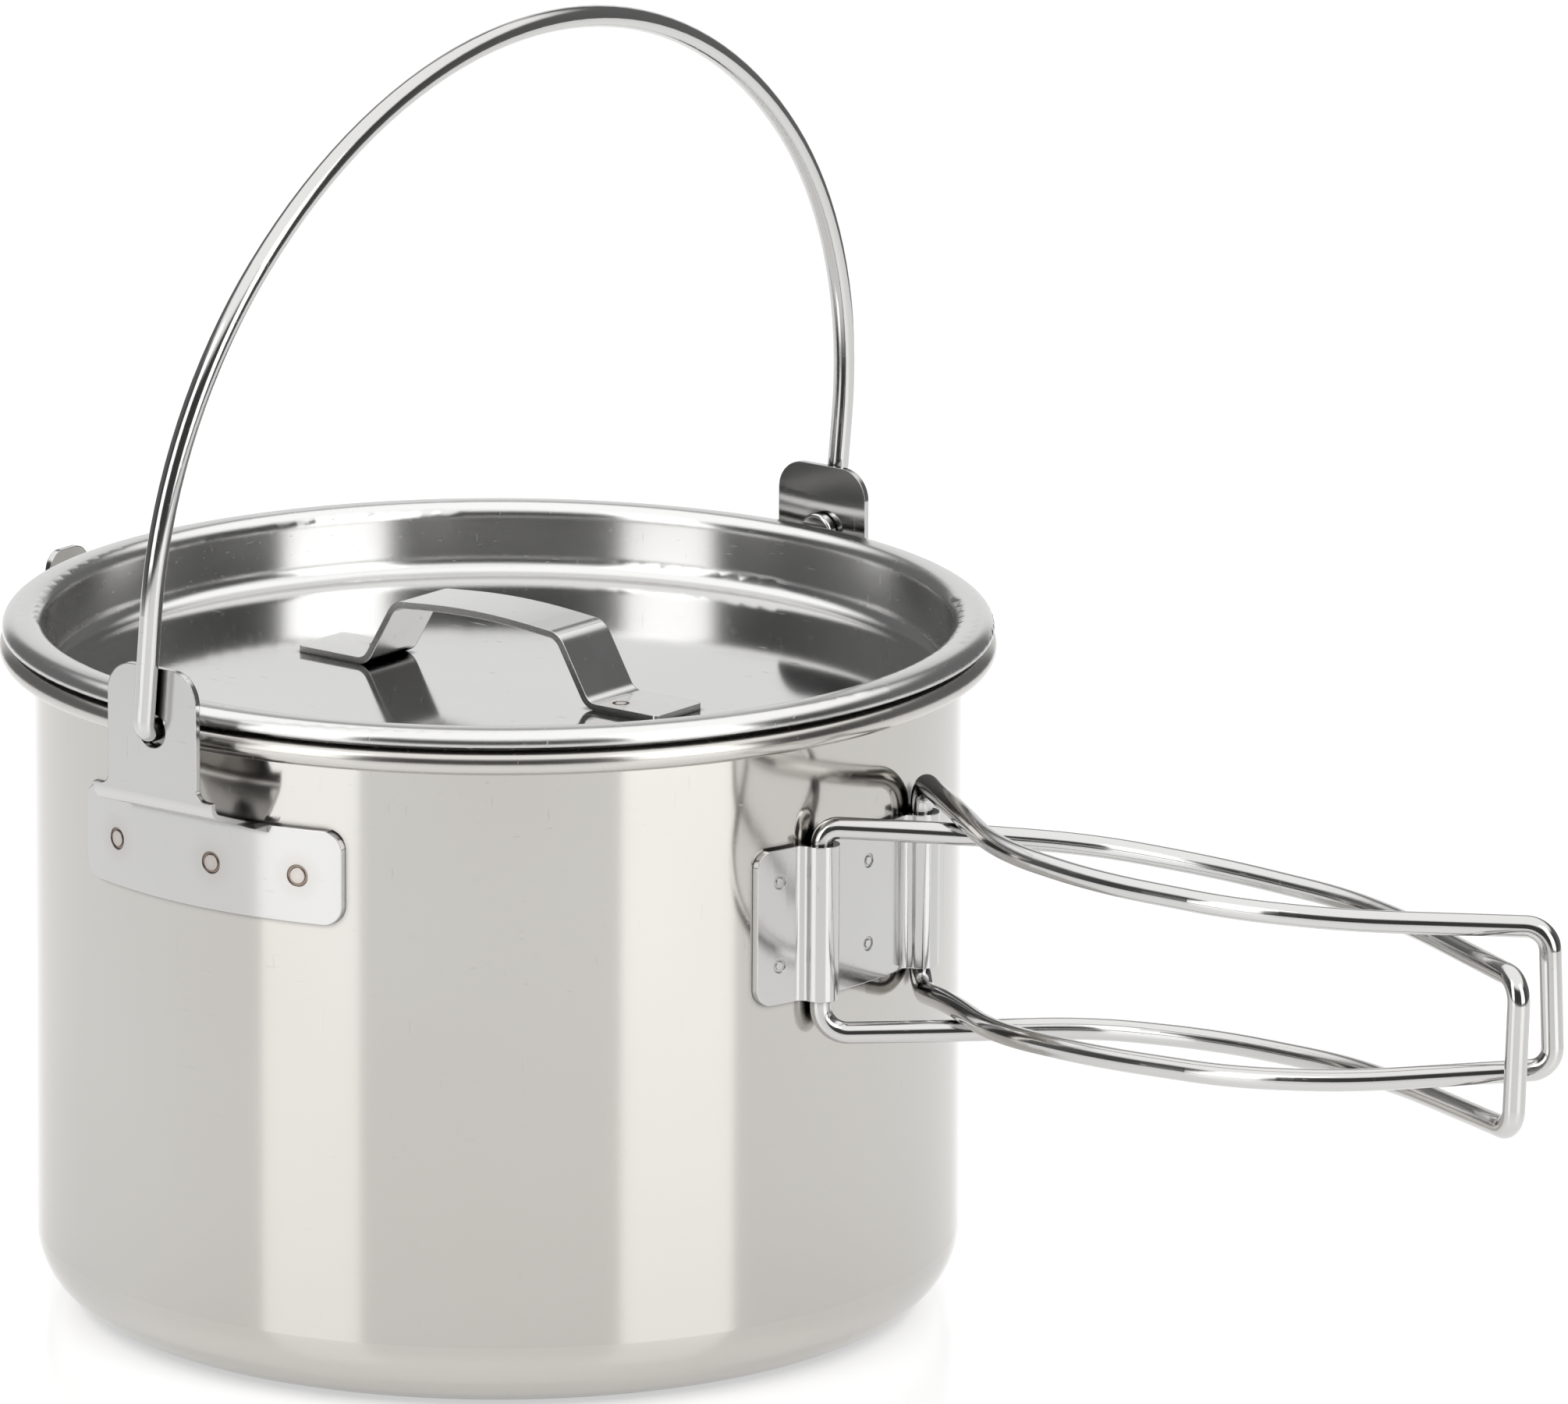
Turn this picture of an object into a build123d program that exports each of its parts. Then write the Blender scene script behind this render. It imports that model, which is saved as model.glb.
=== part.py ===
"""Camping cooking pot: steel pot with a wire bail, a two-loop folding wire handle and a recessed lid.

Units are millimetres. Z is up, the origin is the centre of the pot's flat underside,
+X runs out along the folding handle and the bail turns about an axis along Y.
"""

import math
import os

from build123d import *

# ---- pot --------------------------------------------------------------------
pot_outer_r = 72.5
pot_wall = 0.6
pot_corner_r = 11.0          # outside radius between base and wall
bead_top_z = 106.1           # top of the rolled rim
bead_outer_r = 77.7
bead_thick = 3.9             # height of the rolled rim
lip_r = 1.2                  # centreline radius where the wall turns out into the rim
curl_gap = 0.35              # open slit between the curled edge and the wall

# ---- lid --------------------------------------------------------------------
lid_sheet = 0.6
lid_floor_z = 97.8           # upper face of the recessed floor
lid_wall_outer_r = 71.5
lid_corner_r = 3.1           # centreline radius between floor and wall
lid_crest_z = 109.1          # highest line of the lid's rolled flange
lid_crown_rise = 0.5         # how far the flange arches between its shoulders
lid_flange_r = 77.4          # outermost radius of the flange
lid_skirt_z = 106.8          # lower edge of the flange
lid_shoulder_r = 1.8         # centreline radius of the flange's inner shoulder
lid_arch_r = 8.0             # centreline radius of the flange's arched top
lid_edge_r = 1.7             # centreline radius of the flange's outer shoulder
lid_arch_cut = 0.15          # how much the arch's rounding takes off its corner
lid_inner_rise = 0.15        # how much higher the inner shoulder is than the outer one
lid_skirt_taper = 0.1        # how far the skirt leans in at its lower edge

# ---- strap handle on the lid --------------------------------------------------
strap_sheet = 1.1
strap_width = 11.4
strap_length = 72.2          # over both feet
strap_foot_inner_x = 22.3    # where the feet turn up
strap_shoulder_x = 16.3
strap_shoulder_z = 108.5     # centreline height of the shoulders
strap_crown_z = 109.9        # centreline height of the corner under the crown
strap_foot_bend_r = 2.8
strap_shoulder_bend_r = 3.0
strap_crown_bend_r = 120.0
strap_corner_r = 1.0         # rounded corners of the feet
strap_weld = (26.5, -2.6)    # the one spot weld in the foot on the +X side
strap_weld_ring = (1.3, 0.9)

# ---- wire ---------------------------------------------------------------------
wire_r = 1.7
clearance = 0.3              # air between parts that move on each other
overlap = 2.0                # how far a cutting or joining shape runs past the face it meets

# ---- stamped lugs -------------------------------------------------------------
lug_sheet = 1.0
lug_fold_r = 2.0             # centreline radius between shelf and tab
lug_foot_z = (76.8, 91.5)
lug_foot_corner_r = 3.0
lug_shelf_z = (90.3, 94.6)   # centreline of the sloping shelf, at the wall and at the fold
lug_shelf_rise = 2.0         # height of the shelf's square shoulders above the fold
lug_waist = 0.55             # share of the step between shelf and tab that is rounded
lug_weld_ring = (1.7, 1.25)
weld_depth = 0.2

# ---- bail and its ears ----------------------------------------------------------
pivot_z = 106.3              # bail axis
bail_height = 97.5           # crown of the bail above its axis, wire centreline
bail_lean = 5.1              # degrees from upright towards the handle, at rest
bail_bend_r = 2.1
haunch_r = 73.8              # arc between a leg and the flatter crown
haunch_angle = 43.5
ear_face = 83.3              # outer face of the upright tab, from the pot's axis
ear_hole_r = 2.7
ear_half_width = 8.7
ear_shelf_half_width = 11.7
ear_top_z = (116.2, 117.2)   # left and right tab
ear_corner_r = 4.8
ear_foot_half_width = 25.3
ear_weld_angles = (-13.5, 2.5, 14.5)
head_r = 3.2
head_thick = 1.5
head_edge_r = 0.5

# ---- lug opposite the handle ------------------------------------------------------
rear_lug_face = 87.5
rear_lug_half_width = 4.8
rear_lug_shelf_half_width = 8.0
rear_lug_top_z = 106.2
rear_lug_corner_r = 3.2
rear_lug_foot_half_width = 14.0
rear_lug_weld_angles = (-6.0, 6.0)
rear_lug_turn = 1.3          # degrees off the line through the handle

# ---- handle bracket -----------------------------------------------------------------
bracket_z = (61.9, 86.3)
bracket_sheet = 1.0
bracket_half_width = 23.4
bracket_corner_r = 2.6
knuckle_y = 12.56            # handle axes at y = -12.56 and y = +12.56
knuckle_x = 73.5
knuckle_bore_r = 1.8
knuckle_root_r = 1.4         # hollow between a knuckle and the sheet beside it
bracket_weld_angles = (-15.3, -0.5, 15.3)
bracket_weld_z = (68.0, 81.2)
bracket_weld_ring = (1.1, 0.65)

# ---- handle loops ---------------------------------------------------------------------
# Stations of an arm as x and y, with y positive towards the loop's own knuckle.
arm_plan = ((knuckle_x, knuckle_y), (88.5, 0.7), (106.5, -12.2), (128.0, -15.8), (152.5, -14.4),
            (169.0, -8.6))
arm_end_y = 5.8
left_end_x = (198.3, 197.6)  # ends of the upper and the lower arm
right_end_x = (195.5, 196.6)
left_top = (88.9, 88.0, 86.6, 85.7, 85.3, 85.2, 84.9)
left_bottom = (56.3, 56.7, 57.7, 58.6, 59.3, 60.0, 61.6)
right_top = (91.2, 91.95, 90.9, 90.1, 89.8, 89.6, 90.1)
right_bottom = (57.6, 60.8, 62.1, 63.0, 63.8, 64.8, 68.5)
loop_joint_r = 4.2           # bend from the upright axis into each arm
loop_end_r = 3.6             # bend from each arm into the end bar
loop_bend_share = 0.42       # share of the shorter run that a gentle bend takes
loop_sharp_turn = 60         # degrees; a corner that turns further belongs to the end bar
wire_butt_gap = 0.5          # between the wire's two ends, inside the knuckle


def ring(inner_r, outer_r, z_low, z_high):
    """Upright tube section about the pot's axis."""
    with BuildPart() as tube:
        with BuildSketch(Plane.XY.offset(z_low)):
            Circle(outer_r)
            Circle(inner_r, mode=Mode.SUBTRACT)
        extrude(amount=z_high - z_low)
    return tube.part


def wall_plane(angle, radius, z):
    """Plane that touches a cylinder about the pot's axis, turned by angle from the -Y side."""
    turn = math.radians(angle)
    along = Vector(math.cos(turn), math.sin(turn), 0)
    outward = Vector(math.sin(turn), -math.cos(turn), 0)
    return Plane(origin=outward * radius + Vector(0, 0, z), x_dir=along, z_dir=outward)


def sheet_lug(face, tab_half, shelf_half, top_z, corner_r, foot_half, weld_angles):
    """Stamped lug on the -Y side: a foot rolled to the wall, a sloping shelf and an upright tab."""
    tab_y = face - lug_sheet / 2
    wall_y = pot_outer_r - overlap           # the shelf starts inside the wall and is cut back to it
    foot_low, foot_high = lug_foot_z
    foot_mid = (foot_low + foot_high) / 2
    shelf_top = lug_shelf_z[1] + lug_shelf_rise
    shelf_low = foot_high - overlap          # the shelf's outline overlaps the foot's
    front = face + overlap
    behind = pot_outer_r * math.cos(math.asin(foot_half / pot_outer_r)) - overlap
    with BuildPart() as lug:
        with BuildSketch(Plane.YZ):
            with BuildLine():
                FilletPolyline((-wall_y, lug_shelf_z[0]), (-tab_y, lug_shelf_z[1]), (-tab_y, top_z),
                               radius=lug_fold_r)
            trace(line_width=lug_sheet)
        extrude(amount=shelf_half + overlap, both=True)
        add(ring(pot_outer_r, pot_outer_r + lug_sheet, foot_low, foot_high))
        # outline seen from the front: foot, shelf with hollow corners, tab with round corners
        with BuildSketch(Plane.XZ.offset(behind)) as outline:
            with Locations((0, foot_mid)):
                RectangleRounded(2 * foot_half, foot_high - foot_low, lug_foot_corner_r)
            with Locations((0, (shelf_low + shelf_top) / 2)):
                Rectangle(2 * shelf_half, shelf_top - shelf_low)
            with Locations((0, (foot_high + top_z) / 2)):
                Rectangle(2 * tab_half, top_z - foot_high)
            fillet(outline.vertices().group_by(Axis.Y)[-1], corner_r)
            waist = [v for v in outline.vertices()
                     if abs(v.Y - shelf_top) < 0.1 and abs(abs(v.X) - tab_half) < 0.1]
            fillet(waist, lug_waist * (shelf_half - tab_half))
        extrude(amount=front - behind, mode=Mode.INTERSECT)
        with BuildSketch(Plane.XY.offset(foot_low - overlap)):
            Circle(pot_outer_r)
        extrude(amount=top_z, mode=Mode.SUBTRACT)
        # ring-shaped marks that the spot welder leaves
        for angle in weld_angles:
            with BuildSketch(wall_plane(angle, pot_outer_r + lug_sheet, foot_mid)):
                Circle(lug_weld_ring[0])
                Circle(lug_weld_ring[1], mode=Mode.SUBTRACT)
            extrude(amount=-weld_depth, mode=Mode.SUBTRACT)
    return lug.part


# ---- pot body -------------------------------------------------------------------
curl_r = (bead_thick - pot_wall) / 2
curl_mid_z = bead_top_z - bead_thick / 2
curl_x = bead_outer_r - pot_wall / 2 - curl_r
rim_mid_z = bead_top_z - pot_wall / 2
wall_mid_r = pot_outer_r - pot_wall / 2

with BuildPart() as pot_body:
    with BuildSketch(Plane.XZ):
        with BuildLine():
            base = Line((0, pot_wall / 2), (pot_outer_r - pot_corner_r, pot_wall / 2))
            corner = JernArc(base @ 1, (1, 0), pot_corner_r - pot_wall / 2, 90)
            wall = Line(corner @ 1, (wall_mid_r, rim_mid_z - lip_r))
            lip = JernArc(wall @ 1, (0, 1), lip_r, -90)
            rim = Line(lip @ 1, (curl_x, rim_mid_z))
            curl = JernArc(rim @ 1, (1, 0), curl_r, -180)
            Line(curl @ 1, (pot_outer_r + curl_gap, curl_mid_z - curl_r))
        trace(line_width=pot_wall)
    revolve(axis=Axis.Z)
pot_body.part.label = "pot_body"

# ---- lid pan --------------------------------------------------------------------
lid_wall_mid_r = lid_wall_outer_r - lid_sheet / 2
lid_floor_mid_z = lid_floor_z - lid_sheet / 2
shoulder_z = lid_crest_z - lid_sheet / 2 + lid_arch_cut - lid_crown_rise
skirt_mid_r = lid_flange_r - lid_sheet / 2

with BuildPart() as lid_pan:
    with BuildSketch(Plane.XZ):
        with BuildLine():
            FilletPolyline(
                (0, lid_floor_mid_z),
                (lid_wall_mid_r, lid_floor_mid_z),
                (lid_wall_mid_r, shoulder_z + lid_inner_rise),
                ((lid_wall_mid_r + skirt_mid_r) / 2, shoulder_z + lid_crown_rise),
                (skirt_mid_r, shoulder_z),
                (skirt_mid_r - lid_skirt_taper, lid_skirt_z),
                radius=(lid_corner_r, lid_shoulder_r, lid_arch_r, lid_edge_r),
            )
        trace(line_width=lid_sheet)
    revolve(axis=Axis.Z)
lid_pan.part.label = "lid_pan"

# ---- strap handle on the lid --------------------------------------------------------
strap_foot_z = lid_floor_z + strap_sheet / 2
strap_end_x = strap_length / 2

with BuildPart() as lid_strap:
    with BuildSketch(Plane.XZ):
        with BuildLine():
            FilletPolyline(
                (-strap_end_x, strap_foot_z),
                (-strap_foot_inner_x, strap_foot_z),
                (-strap_shoulder_x, strap_shoulder_z),
                (0, strap_crown_z),
                (strap_shoulder_x, strap_shoulder_z),
                (strap_foot_inner_x, strap_foot_z),
                (strap_end_x, strap_foot_z),
                radius=(strap_foot_bend_r, strap_shoulder_bend_r, strap_crown_bend_r,
                        strap_shoulder_bend_r, strap_foot_bend_r),
            )
        trace(line_width=strap_sheet)
    extrude(amount=strap_width / 2, both=True)
    fillet(lid_strap.edges().filter_by(Axis.Z), strap_corner_r)
    with BuildSketch(Plane.XY.offset(lid_floor_z + strap_sheet)):
        with Locations(strap_weld, (-strap_weld[0], -strap_weld[1])):
            Circle(strap_weld_ring[0])
            Circle(strap_weld_ring[1], mode=Mode.SUBTRACT)
    extrude(amount=-weld_depth, mode=Mode.SUBTRACT)
lid_strap.part.label = "lid_strap"


# ---- bail ears -----------------------------------------------------------------------
def bail_ear(top_z):
    """Lug on the -Y side with the hole for the bail's end."""
    with BuildPart() as ear:
        add(sheet_lug(ear_face, ear_half_width, ear_shelf_half_width, top_z, ear_corner_r,
                      ear_foot_half_width, ear_weld_angles))
        with BuildSketch(Plane.XZ.offset(ear_face + overlap)):
            with Locations((0, pivot_z)):
                Circle(ear_hole_r)
        extrude(amount=-lug_sheet - 2 * overlap, mode=Mode.SUBTRACT)
    return ear.part


with BuildPart() as bail_ear_left:
    add(bail_ear(ear_top_z[0]))
bail_ear_left.part.label = "bail_ear_left"

with BuildPart() as bail_ear_right:
    add(bail_ear(ear_top_z[1]).mirror(Plane.XZ))
bail_ear_right.part.label = "bail_ear_right"

# ---- tipping lug, opposite the handle ----------------------------------------------------
with BuildPart() as tipping_lug:
    rear_lug = sheet_lug(rear_lug_face, rear_lug_half_width, rear_lug_shelf_half_width, rear_lug_top_z,
                         rear_lug_corner_r, rear_lug_foot_half_width, rear_lug_weld_angles)
    add(rear_lug.rotate(Axis.Z, rear_lug_turn - 90))
tipping_lug.part.label = "tipping_lug"

# ---- bail ------------------------------------------------------------------------------
leg_y = ear_face + clearance + wire_r
haunch = math.radians(haunch_angle)
crown_r = haunch_r + (leg_y - haunch_r) / math.cos(haunch)
haunch_centre_y = (crown_r - haunch_r) * math.cos(haunch)
haunch_centre_h = bail_height - crown_r + (crown_r - haunch_r) * math.sin(haunch)
head_outer_y = ear_face - lug_sheet - clearance
head_inner_y = head_outer_y - head_thick
lean = math.radians(bail_lean)


def bail_point(side, across, height):
    """Point of the leaning bail, from its distance across the pot and its height above the axis."""
    return (height * math.sin(lean), side * across, pivot_z + height * math.cos(lean))


def haunch_point(side, angle):
    """Point on the arc between the crown and a leg."""
    across = haunch_centre_y + haunch_r * math.cos(angle)
    return bail_point(side, across, haunch_centre_h + haunch_r * math.sin(angle))


def bend_point(side, degrees):
    """Point on the bend at the foot of a leg."""
    angle = math.radians(degrees)
    across = leg_y - bail_bend_r + bail_bend_r * math.cos(angle)
    return bail_point(side, across, bail_bend_r * (1 - math.sin(angle)))


with BuildPart() as bail:
    left_end = bail_point(-1, head_inner_y + head_thick / 2, 0)
    right_end = bail_point(1, head_inner_y + head_thick / 2, 0)
    with BuildLine() as bail_path:
        for side, end in ((-1, left_end), (1, right_end)):
            Line(end, bend_point(side, 90))
            ThreePointArc(bend_point(side, 90), bend_point(side, 45), bend_point(side, 0))
            Line(bend_point(side, 0), haunch_point(side, 0))
            ThreePointArc(haunch_point(side, 0), haunch_point(side, haunch / 2), haunch_point(side, haunch))
        ThreePointArc(haunch_point(-1, haunch), bail_point(1, 0, bail_height), haunch_point(1, haunch))
    with BuildSketch(Plane(origin=left_end, z_dir=(0, -1, 0))):
        Circle(wire_r)
    sweep(path=bail_path.wire())
    # hammered heads that keep the ends in the ears
    for side in (-1, 1):
        with BuildSketch(Plane(origin=(0, side * head_outer_y, pivot_z), z_dir=(0, -side, 0))):
            Circle(head_r)
        extrude(amount=head_thick)
    head_rims = [edge for edge in bail.edges().filter_by(GeomType.CIRCLE)
                 if abs(edge.radius - head_r) < 0.01 and abs(abs(edge.center().Y) - head_inner_y) < 0.01]
    fillet(head_rims, head_edge_r)
bail.part.label = "bail"

# ---- handle bracket ---------------------------------------------------------------------
sheet_outer_r = pot_outer_r + bracket_sheet
knuckles = [(knuckle_x, side * knuckle_y) for side in (-1, 1)]
bracket_height = bracket_z[1] - bracket_z[0]
bracket_front = knuckle_x + knuckle_bore_r + bracket_sheet
bracket_back = 60.0          # behind every part of the bracket's sheet
fold_gap_depth = 3.0         # reaches from a knuckle's axis past the wall

with BuildPart() as handle_bracket:
    with BuildSketch(Plane.XY.offset(bracket_z[0])) as bracket_plan:
        Circle(sheet_outer_r)
        with Locations(*knuckles):
            Circle(knuckle_bore_r + bracket_sheet)
        roots = [v for v in bracket_plan.vertices()
                 if v.X > 0 and abs(math.hypot(v.X, v.Y) - sheet_outer_r) < 0.05 and abs(v.Y) > 1]
        fillet(roots, knuckle_root_r)
        with Locations(*knuckles):
            Circle(knuckle_bore_r, mode=Mode.SUBTRACT)
        # each knuckle is an open fold, so its bore runs into the gap at the wall
        for x, y in knuckles:
            with Locations(Location((x, y, 0), math.degrees(math.atan2(y, x)))):
                Rectangle(fold_gap_depth, 2 * knuckle_bore_r, align=(Align.MAX, Align.CENTER),
                          mode=Mode.SUBTRACT)
        Circle(pot_outer_r, mode=Mode.SUBTRACT)
    extrude(amount=bracket_height)
    with BuildSketch(Plane.YZ.offset(bracket_back)):
        with Locations((0, sum(bracket_z) / 2)):
            RectangleRounded(2 * bracket_half_width, bracket_height, bracket_corner_r)
    extrude(amount=bracket_front + overlap - bracket_back, mode=Mode.INTERSECT)
    for angle in bracket_weld_angles:
        for z in bracket_weld_z:
            with BuildSketch(wall_plane(90 + angle, sheet_outer_r, z)):
                Circle(bracket_weld_ring[0])
                Circle(bracket_weld_ring[1], mode=Mode.SUBTRACT)
            extrude(amount=-weld_depth, mode=Mode.SUBTRACT)
handle_bracket.part.label = "handle_bracket"


# ---- handle loops ---------------------------------------------------------------------
def loop_route(side, tops, bottoms, end_x):
    """Corner points of one closed-looking loop, from inside its knuckle and back."""
    upper_plan = arm_plan + ((end_x[0], arm_end_y),)
    lower_plan = arm_plan + ((end_x[1], arm_end_y),)
    upper = [(x, side * y, z) for (x, y), z in zip(upper_plan, tops)]
    lower = [(x, side * y, z) for (x, y), z in zip(lower_plan, bottoms)]
    middle = sum(bracket_z) / 2
    start = (knuckle_x, side * knuckle_y, middle + wire_butt_gap / 2)
    finish = (knuckle_x, side * knuckle_y, middle - wire_butt_gap / 2)
    return [start] + upper + lower[::-1] + [finish]


def bend_radii(points):
    """Radius for each corner: tight at the ends of the arms, as large as the runs allow elsewhere."""
    radii = []
    for index in range(1, len(points) - 1):
        before = Vector(points[index]) - Vector(points[index - 1])
        after = Vector(points[index + 1]) - Vector(points[index])
        turn = before.get_angle(after)
        bend = math.tan(math.radians(turn / 2))      # length that a bend of radius 1 takes from each run
        if index in (1, len(points) - 2):
            height = points[index][2]
            room = max(height - bracket_z[1], bracket_z[0] - height)
            radii.append(min(loop_joint_r, room / bend))
        elif turn > loop_sharp_turn:
            radii.append(loop_end_r)
        else:
            radii.append(loop_bend_share * min(before.length, after.length) / bend)
    return radii


def wire_loop(side, tops, bottoms, end_x):
    """One wire loop of the folding handle."""
    points = loop_route(side, tops, bottoms, end_x)
    with BuildPart() as loop:
        with BuildLine() as route:
            FilletPolyline(*points, radius=bend_radii(points))
        with BuildSketch(Plane(origin=points[0], z_dir=(0, 0, 1))):
            Circle(wire_r)
        sweep(path=route.wire())
    return loop.part


with BuildPart() as handle_loop_left:
    add(wire_loop(-1, left_top, left_bottom, left_end_x))
handle_loop_left.part.label = "handle_loop_left"

with BuildPart() as handle_loop_right:
    add(wire_loop(1, right_top, right_bottom, right_end_x))
handle_loop_right.part.label = "handle_loop_right"

# ---- files ------------------------------------------------------------------------------
os.makedirs("parts", exist_ok=True)
pieces = (pot_body, bail_ear_left, bail_ear_right, tipping_lug, handle_bracket, bail,
          handle_loop_left, handle_loop_right, lid_pan, lid_strap)
for piece in pieces:
    export_step(piece.part, f"parts/{piece.part.label}.step")
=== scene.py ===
"""Looks of the camping cooking pot: steel finishes, heat-tinted welds, studio and camera.

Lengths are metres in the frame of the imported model: Z up, +X along the folding handle.
"""

import math

import bpy
from mathutils import Matrix, Vector


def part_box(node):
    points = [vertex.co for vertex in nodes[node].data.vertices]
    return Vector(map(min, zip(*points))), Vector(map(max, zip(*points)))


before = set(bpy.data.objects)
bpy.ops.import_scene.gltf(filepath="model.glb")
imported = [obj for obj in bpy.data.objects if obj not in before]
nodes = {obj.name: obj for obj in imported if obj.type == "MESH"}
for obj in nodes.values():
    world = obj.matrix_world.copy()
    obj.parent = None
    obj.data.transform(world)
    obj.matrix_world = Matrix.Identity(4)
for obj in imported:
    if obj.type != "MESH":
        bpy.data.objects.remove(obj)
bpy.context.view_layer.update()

MM = 0.001

# ---- places taken from the frame ---------------------------------------------------
pot_low, pot_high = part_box("pot_body")
strap_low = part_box("lid_strap")[0]


# ---- node helpers ---------------------------------------------------------------------
def node_maker(tree):
    """Returns a function that adds a node, sets its properties and fills or links its inputs."""
    def make(kind, inputs=None, **settings):
        node = tree.nodes.new(kind)
        for key, value in settings.items():
            setattr(node, key, value)
        for key, value in (inputs or {}).items():
            if isinstance(value, bpy.types.NodeSocket):
                tree.links.new(value, node.inputs[key])
            else:
                node.inputs[key].default_value = value
        return node
    return make


def maths(make, operation, first, second=0.0, clamp=False):
    """A Math node's result."""
    return make("ShaderNodeMath", {0: first, 1: second}, operation=operation, use_clamp=clamp).outputs[0]


def remap(make, value, low, high, to_low, to_high):
    """Value from one range to another, smoothly and without overshoot."""
    node = make("ShaderNodeMapRange", {"Value": value, "From Min": low, "From Max": high,
                                       "To Min": to_low, "To Max": to_high}, interpolation_type="SMOOTHSTEP")
    return node.outputs["Result"]


def noise(make, vector, scale, detail=2.0, roughness=0.5):
    """Noise between 0 and 1 with its mean near a half."""
    node = make("ShaderNodeTexNoise", {"Vector": vector, "Scale": scale, "Detail": detail,
                                       "Roughness": roughness})
    return node.outputs["Fac"]


# ---- steel finishes ----------------------------------------------------------------------
# each pair of tones is the steel's clean colour and its colour where it is stained
NEUTRAL = ((0.572, 0.569, 0.564), (0.55, 0.543, 0.532))
WARM = ((0.556, 0.543, 0.517), (0.53, 0.512, 0.48))
BRIGHT = ((0.685, 0.682, 0.677), (0.665, 0.659, 0.649))
SEAM_SHADE_WIDTH = 1.3 * MM        # how far the painted shade spreads from where two pieces meet
HAIRLINE_EDGE = 0.035        # noise step over which a scratch fades in
SCRATCH_ROUGHNESS = 0.12     # added where the steel is scratched
SCRATCH_DEPTH = 1.2          # depth of a scratch, in heights of the grain
SATIN_ROUGHNESS = 0.13       # added above the height where the satin finish starts
SATIN_BLEND = 1.5 * MM
WELD_ROUGHNESS = 0.08        # added inside a weld mark


def turned_grain(make, place):
    """Coordinates in which noise makes fine rings about the pot's axis."""
    split = make("ShaderNodeSeparateXYZ", {0: place})
    flat = make("ShaderNodeCombineXYZ", {0: split.outputs[0], 1: split.outputs[1]})
    radius = make("ShaderNodeVectorMath", {0: flat.outputs[0]}, operation="LENGTH").outputs["Value"]
    turn = maths(make, "ARCTAN2", split.outputs[1], split.outputs[0])
    slow = maths(make, "MULTIPLY", turn, 0.0012)
    ring = make("ShaderNodeCombineXYZ", {0: radius, 1: slow, 2: split.outputs[2]})
    return ring.outputs[0]


def stretched_grain(make, place, scale):
    """Coordinates in which noise runs in streaks along the axis with the smallest scale."""
    return make("ShaderNodeVectorMath", {0: place, 1: scale}, operation="MULTIPLY").outputs[0]


def nearest_weld(make, place, welds):
    """Distance in metres from the nearest weld mark."""
    nearest = None
    for weld in welds:
        away = make("ShaderNodeVectorMath", {0: place, 1: weld}, operation="DISTANCE").outputs["Value"]
        nearest = away if nearest is None else maths(make, "MINIMUM", nearest, away)
    return nearest


def heat_tint(make, colour, away, ring_radius):
    """Colour with a thin brown ring at each weld and a faint straw tint inside and around it."""
    heat = make("ShaderNodeValToRGB", {"Fac": maths(make, "DIVIDE", away, 3.0 * ring_radius)})
    stops = ((0.0, (0.95, 0.91, 0.88)), (0.25, (0.88, 0.81, 0.76)), (0.31, (0.55, 0.43, 0.36)),
             (0.36, (0.6, 0.5, 0.43)), (0.41, (0.95, 0.93, 0.91)), (1.0, (1.0, 1.0, 1.0)))
    ramp = heat.color_ramp
    for position, shade in stops[1:-1]:
        ramp.elements.new(position).color = (*shade, 1)
    ramp.elements[0].color = (*stops[0][1], 1)
    ramp.elements[-1].color = (*stops[-1][1], 1)
    return make("ShaderNodeMix", {"Factor": 1.0, "A": colour, "B": heat.outputs["Color"]},
                data_type="RGBA", blend_type="MULTIPLY").outputs["Result"]


def hairlines(make, place, scale, size, threshold):
    """Sparse thin scratches along the axis with the smallest scale, as 0 or 1."""
    lines = noise(make, stretched_grain(make, place, scale), size, 1.0)
    return remap(make, lines, threshold, threshold + HAIRLINE_EDGE, 0.0, 1.0)


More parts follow.
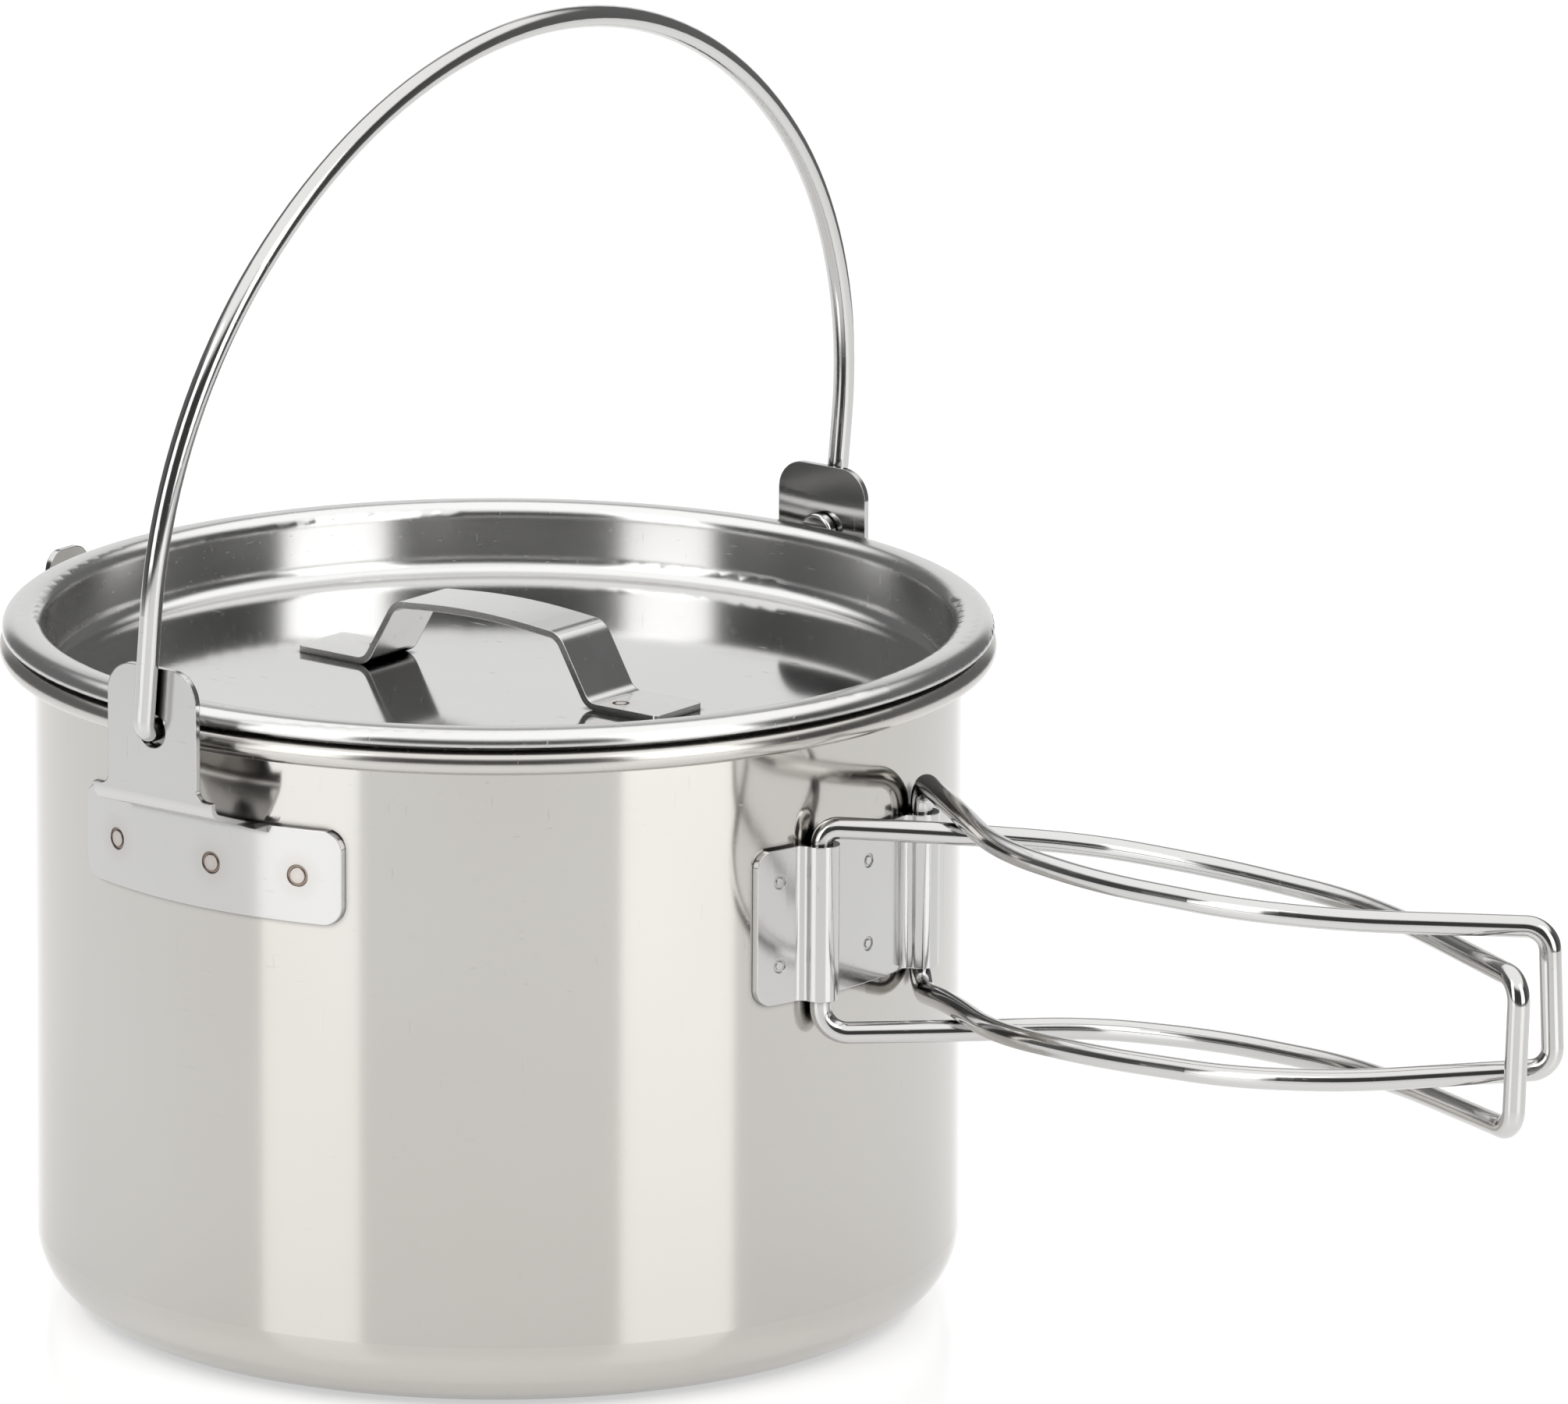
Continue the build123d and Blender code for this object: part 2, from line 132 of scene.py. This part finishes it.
def steel(name, grain, roughness, spread, anisotropy=0.0, tangent_axis=None, turned=False,
          grain_depth=0.0004 * MM, edge=0.0, welds=(), ring_radius=0.0, satin_from=None, seam_shade_tone=0.3,
          tones=NEUTRAL):
    """Bright steel: fine grain, soft smears, hairline scratches, broken edges, heat-tinted welds and painted
    shade where pieces meet.

    Above the height satin_from, if there is one, the polish gives way to a satin finish.
    seam_shade_tone is how dark the painted shade makes the steel in the crevices and gaps where two pieces
    meet.
    """
    material = bpy.data.materials.new(name)
    material.use_nodes = True
    tree = material.node_tree
    tree.nodes.clear()
    make = node_maker(tree)
    place = make("ShaderNodeTexCoord").outputs["Object"]

    fine = noise(make, grain(make, place), 2600.0, 3.0, 0.6)
    smear = noise(make, place, 32.0, 3.0, 0.55)
    blotch = noise(make, place, 11.0, 2.0)
    scratch = maths(make, "MAXIMUM", hairlines(make, place, (0.22, 0.9, 3.4), 900.0, 0.735),
                    hairlines(make, place, (2.6, 0.8, 0.2), 800.0, 0.745))

    tone = make("ShaderNodeMix", {"Factor": remap(make, blotch, 0.35, 0.7, 0.0, 1.0),
                                  "A": (*tones[0], 1), "B": (*tones[1], 1)}, data_type="RGBA")
    # painted shade: ambient occlusion darkens the colour in crevices and gaps between pieces, where shadow
    # falls
    near = make("ShaderNodeAmbientOcclusion", {"Distance": SEAM_SHADE_WIDTH}, samples=6).outputs["AO"]
    painted_seam_shade = remap(make, near, 0.45, 0.9, seam_shade_tone, 1.0)
    colour = make("ShaderNodeVectorMath", {0: tone.outputs["Result"], 1: painted_seam_shade},
                  operation="MULTIPLY").outputs[0]
    rough = remap(make, smear, 0.3, 0.75, roughness, roughness + spread)
    rough = maths(make, "ADD", rough, maths(make, "MULTIPLY", fine, spread * 0.5))
    rough = maths(make, "ADD", rough, maths(make, "MULTIPLY", scratch, SCRATCH_ROUGHNESS))
    height = maths(make, "ADD", fine, maths(make, "MULTIPLY", scratch, -SCRATCH_DEPTH))
    if satin_from is not None:
        level = make("ShaderNodeSeparateXYZ", {0: place}).outputs[2]
        satin = remap(make, level, satin_from, satin_from + SATIN_BLEND, 0.0, SATIN_ROUGHNESS)
        rough = maths(make, "ADD", rough, satin)
    if welds:
        away = nearest_weld(make, place, welds)
        dull = remap(make, away, 0.8 * ring_radius, 1.5 * ring_radius, WELD_ROUGHNESS, 0.0)
        rough = maths(make, "ADD", rough, dull)
        colour = heat_tint(make, colour, away, ring_radius)

    relief = {"Height": height, "Strength": 1.0, "Distance": grain_depth}
    if edge:
        relief["Normal"] = make("ShaderNodeBevel", {"Radius": edge}, samples=6).outputs["Normal"]
    bump = make("ShaderNodeBump", relief)
    shader = make("ShaderNodeBsdfPrincipled", {"Base Color": colour, "Metallic": 1.0, "Roughness": rough,
                                               "Normal": bump.outputs["Normal"]})
    if anisotropy:
        shader.inputs["Anisotropic"].default_value = anisotropy
        shader.inputs["Anisotropic Rotation"].default_value = 0.25 if turned else 0.0
        tangent = make("ShaderNodeTangent", direction_type="RADIAL", axis=tangent_axis)
        tree.links.new(tangent.outputs[0], shader.inputs["Tangent"])
    output = make("ShaderNodeOutputMaterial")
    tree.links.new(shader.outputs[0], output.inputs["Surface"])
    return material


def streaks(scale):
    """Grain that runs in straight streaks."""
    return lambda make, place: stretched_grain(make, place, scale)


def wall_points(angles, heights, radius, middle):
    """Points on the wall, angles in degrees from the +X direction turned by middle."""
    points = []
    for angle in angles:
        for height in heights:
            turn = math.radians(angle + middle)
            points.append((radius * math.cos(turn), radius * math.sin(turn), height))
    return points


SHEET = 1.0 * MM             # thickness of the stamped lugs and the bracket
SHEET_EDGE = 0.22 * MM       # how far their edges are broken
RIM_OVERHANG = 5.2 * MM      # how far the rolled rim stands out from the wall
LUG_ANGLE = 181.3            # degrees from +X to the tipping lug
wall_r = pot_high.x - RIM_OVERHANG
sheet_r = wall_r + SHEET
ear_mid_z = 84.15 * MM
ear_welds_left = wall_points((-13.5, 2.5, 14.5), (ear_mid_z,), sheet_r, -90)
ear_welds_right = wall_points((13.5, -2.5, -14.5), (ear_mid_z,), sheet_r, 90)
lug_welds = wall_points((-6, 6), (ear_mid_z,), sheet_r, LUG_ANGLE)
strap_welds = [(side * 26.5 * MM, -side * 2.6 * MM, strap_low.z + 1.1 * MM) for side in (-1, 1)]
upright_grain = streaks((1.0, 1.0, 0.12))

# seam_shade_tone sets how dark each part's painted crevice shade is; the pot and lid get the darkest, for
# the shadowed gap under the lid's rim
finishes = {
    "pot_body": steel("pot_spun_steel", turned_grain, 0.075, 0.03, anisotropy=0.45, tangent_axis="Z",
                      turned=True, satin_from=pot_high.z - 5.0 * MM, seam_shade_tone=0.12, tones=WARM),
    "lid_pan": steel("lid_polished_steel", turned_grain, 0.06, 0.03, anisotropy=0.5, tangent_axis="Z",
                     turned=True, grain_depth=0.00015 * MM, edge=0.8 * MM,
                     satin_from=strap_low.z + 0.4 * MM, seam_shade_tone=0.12, tones=BRIGHT),
    "lid_strap": steel("strap_brushed_steel", streaks((0.06, 1.0, 1.0)), 0.12, 0.06, anisotropy=0.4,
                       tangent_axis="X", edge=SHEET_EDGE, welds=strap_welds, ring_radius=1.1 * MM,
                       tones=BRIGHT),
    "bail_ear_left": steel("ear_steel_left", upright_grain, 0.1, 0.04, edge=SHEET_EDGE,
                           welds=ear_welds_left, ring_radius=1.5 * MM),
    "bail_ear_right": steel("ear_steel_right", upright_grain, 0.1, 0.04, edge=SHEET_EDGE,
                            welds=ear_welds_right, ring_radius=1.5 * MM),
    "tipping_lug": steel("lug_steel", upright_grain, 0.1, 0.04, edge=SHEET_EDGE,
                         welds=lug_welds, ring_radius=1.5 * MM),
    "handle_bracket": steel("bracket_steel", upright_grain, 0.1, 0.04, edge=SHEET_EDGE, seam_shade_tone=0.7),
    "bail": steel("bail_wire_steel", streaks((1.0, 0.1, 0.1)), 0.1, 0.04),
    "handle_loop_left": steel("loop_wire_steel", streaks((0.08, 1.0, 1.0)), 0.1, 0.04),
}
finishes["handle_loop_right"] = finishes["handle_loop_left"]
for node_name, finish in finishes.items():
    for slot in nodes[node_name].material_slots:
        slot.material = finish

# ---- camera ------------------------------------------------------------------------------
VIEW_AZIMUTH = math.radians(39.0)
VIEW_ELEVATION = math.radians(15.15)
VIEW_DISTANCE = 2.159
VIEW_POINT = Vector((0, 0, 60 * MM))
AIM_RIGHT = 44.75 * MM
AIM_UP = 33.26 * MM

back = Vector((math.sin(VIEW_AZIMUTH) * math.cos(VIEW_ELEVATION),
               -math.cos(VIEW_AZIMUTH) * math.cos(VIEW_ELEVATION), math.sin(VIEW_ELEVATION)))
right = Vector((math.cos(VIEW_AZIMUTH), math.sin(VIEW_AZIMUTH), 0))
up = back.cross(right)
aim = VIEW_POINT + right * AIM_RIGHT + up * AIM_UP
camera_data = bpy.data.cameras.new("camera")
camera_data.lens = 316.3
camera_data.sensor_width = 36.0
camera_data.clip_start = 0.05
camera_data.clip_end = 50.0
camera = bpy.data.objects.new("camera", camera_data)
camera.location = VIEW_POINT + back * VIEW_DISTANCE
sight = (camera.location - aim).normalized()
sideways = up.cross(sight).normalized()
camera.rotation_euler = Matrix((sideways, sight.cross(sideways), sight)).transposed().to_euler()
bpy.context.scene.collection.objects.link(camera)
bpy.context.scene.camera = camera

# ---- studio ------------------------------------------------------------------------------
bpy.context.scene.view_settings.view_transform = "Standard"
SOFTBOX_DISTANCE = 1.15      # from the pot's axis
SOFTBOX_HEIGHT = 1.3
FLOOR_RADIUS = 0.7
FLOOR_SIDES = 96
FLOOR_DROP = 0.02 * MM       # air between the floor and the pot's base
FLOOR_TONE = 0.55
FLOOR_ROUGHNESS = 0.2
FLOOR_GLOW = 0.54
ROOM_FRONT = 0.06            # brightness of the room on the camera's side
ROOM_BACK = 0.17             # and on the far side
BACKDROP = 0.9               # bright field straight behind the pot
OVERHEAD = 1.4
SEEN_BACKGROUND = 1.05       # what the camera itself sees, just above white


def studio_direction(degrees):
    """Level direction, turned from the camera's side towards the right of the picture."""
    turn = VIEW_AZIMUTH + math.radians(degrees)
    return Vector((math.sin(turn), -math.cos(turn), 0))


def softbox(name, degrees, width, radiance):
    """Upright soft light that faces the pot from the floor's level up."""
    data = bpy.data.lights.new(name, "AREA")
    data.shape = "RECTANGLE"
    data.size = width
    data.size_y = SOFTBOX_HEIGHT
    data.energy = radiance * width * SOFTBOX_HEIGHT * math.pi
    box = bpy.data.objects.new(name, data)
    outward = studio_direction(degrees)
    box.location = outward * SOFTBOX_DISTANCE + Vector((0, 0, SOFTBOX_HEIGHT / 2))
    box.rotation_euler = outward.to_track_quat("Z", "Y").to_euler()
    box.visible_camera = False
    bpy.context.scene.collection.objects.link(box)


softbox("softbox_left", -46, 0.52, 2.0)
softbox("softbox_right", 44, 0.6, 2.3)

floor_mesh = bpy.data.meshes.new("floor")
rim = []
for step in range(FLOOR_SIDES):
    turn = math.tau * step / FLOOR_SIDES
    rim.append((FLOOR_RADIUS * math.cos(turn), FLOOR_RADIUS * math.sin(turn), 0))
floor_mesh.from_pydata(rim, [], [list(range(FLOOR_SIDES))])
floor = bpy.data.objects.new("floor", floor_mesh)
floor.location.z = pot_low.z - FLOOR_DROP
bpy.context.scene.collection.objects.link(floor)
floor_material = bpy.data.materials.new("floor_white")
floor_material.use_nodes = True
shader = floor_material.node_tree.nodes["Principled BSDF"]
shader.inputs["Base Color"].default_value = (FLOOR_TONE, FLOOR_TONE, FLOOR_TONE, 1)
shader.inputs["Roughness"].default_value = FLOOR_ROUGHNESS
shader.inputs["Emission Color"].default_value = (1, 1, 1, 1)
shader.inputs["Emission Strength"].default_value = FLOOR_GLOW
floor_mesh.materials.append(floor_material)

world = bpy.data.worlds.new("studio")
world.use_nodes = True
bpy.context.scene.world = world
world.node_tree.nodes.clear()
make = node_maker(world.node_tree)
direction = make("ShaderNodeTexCoord").outputs["Generated"]
height = make("ShaderNodeSeparateXYZ", {0: direction}).outputs[2]
behind = make("ShaderNodeVectorMath", {0: direction, 1: tuple(studio_direction(180))},
              operation="DOT_PRODUCT")
room = remap(make, behind.outputs["Value"], -0.4, 0.4, ROOM_FRONT, ROOM_BACK)
backdrop = remap(make, behind.outputs["Value"], 0.87, 0.95, 0.0, BACKDROP)
overhead = remap(make, height, 0.48, 0.7, 0.0, OVERHEAD)
level = maths(make, "MAXIMUM", maths(make, "MAXIMUM", room, backdrop), overhead)
seen = make("ShaderNodeLightPath").outputs["Is Camera Ray"]
strength = make("ShaderNodeMix", {"Factor": seen, "A": level, "B": SEEN_BACKGROUND},
                data_type="FLOAT").outputs["Result"]
glow = make("ShaderNodeBackground", {"Color": (1, 1, 1, 1), "Strength": strength})
make("ShaderNodeOutputWorld", {"Surface": glow.outputs[0]})
